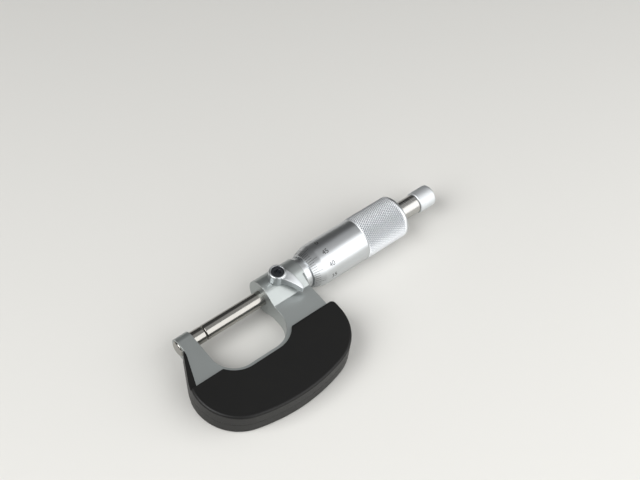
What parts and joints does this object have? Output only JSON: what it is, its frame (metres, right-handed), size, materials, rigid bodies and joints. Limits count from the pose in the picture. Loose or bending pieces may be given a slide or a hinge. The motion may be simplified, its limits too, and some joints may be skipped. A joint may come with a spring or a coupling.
{
  "type": "outside micrometer",
  "caption": "Outside micrometer with a covered C-frame, ground anvil and spindle, lever lock, graduated thimble with knurled grip, and a ratchet stop.",
  "frame": {"origin": "centre of the anvil's measuring face", "axes": "+X along the spindle from the anvil to the ratchet, -Y into the bow, +Z the normal of the front cover"},
  "size_m": [0.1378, 0.0543, 0.0213],
  "materials": {
    "frame_paint": "satin grey enamel",
    "cover_plastic": "fine matt black moulding",
    "screw_steel": "dark oiled steel",
    "ground_steel": "ground",
    "satin_chrome": "satin chrome",
    "turned_steel": "turned",
    "spring_steel": "drawn wire",
    "plug_brass": "turned",
    "black_oxide": "black oxide"
  },
  "bodies": {
    "frame": {"frame": "frame_paint", "front_cover": "cover_plastic", "rear_cover": "cover_plastic", "cover_screw_left": "screw_steel", "cover_screw_right": "screw_steel", "anvil": "ground_steel", "hub_sleeve": "turned_steel", "adjusting_nut": "turned_steel", "sleeve": "satin_chrome", "lock_plug": "plug_brass"},
    "lock": {"lock_stem": "turned_steel", "lock_lever": "satin_chrome", "lock_screw": "black_oxide"},
    "spindle": {"spindle": "ground_steel"},
    "thimble": {"thimble": "satin_chrome", "ratchet_body": "turned_steel", "ratchet_spring": "spring_steel", "ratchet_screw": "screw_steel"},
    "pawl": {"ratchet_pawl": "turned_steel"},
    "ratchet": {"ratchet_knob": "satin_chrome"}
  },
  "joints": [
    {"name": "spindle_travel", "type": "slide", "parent": "frame", "child": "spindle", "axis": [1, 0, 0], "range_m": [-0.0005, 0.0245]},
    {"name": "thimble_turn", "type": "hinge", "parent": "spindle", "child": "thimble", "pos_m": [0.0733, 0, 0], "axis": [1, 0, 0], "range_deg": [-360, 17640]},
    {"name": "ratchet_turn", "type": "hinge", "parent": "thimble", "child": "ratchet", "pos_m": [0.1137, 0, 0], "axis": [1, 0, 0], "continuous": true},
    {"name": "pawl_click", "type": "slide", "parent": "thimble", "child": "pawl", "axis": [1, 0, 0], "range_m": [-0.0006, 0], "stiffness_N_per_m": 500, "springref_m": 0.004, "deforming": ["ratchet_spring"]},
    {"name": "lock_turn", "type": "hinge", "parent": "frame", "child": "lock", "pos_m": [0.0351, 0, 0.0095], "axis": [0, 0, 1], "range_deg": [-60, 0]}
  ],
  "couplings": [
    {"joint": "thimble_turn", "follows": "spindle_travel", "rad_per_m": 12566}
  ]
}
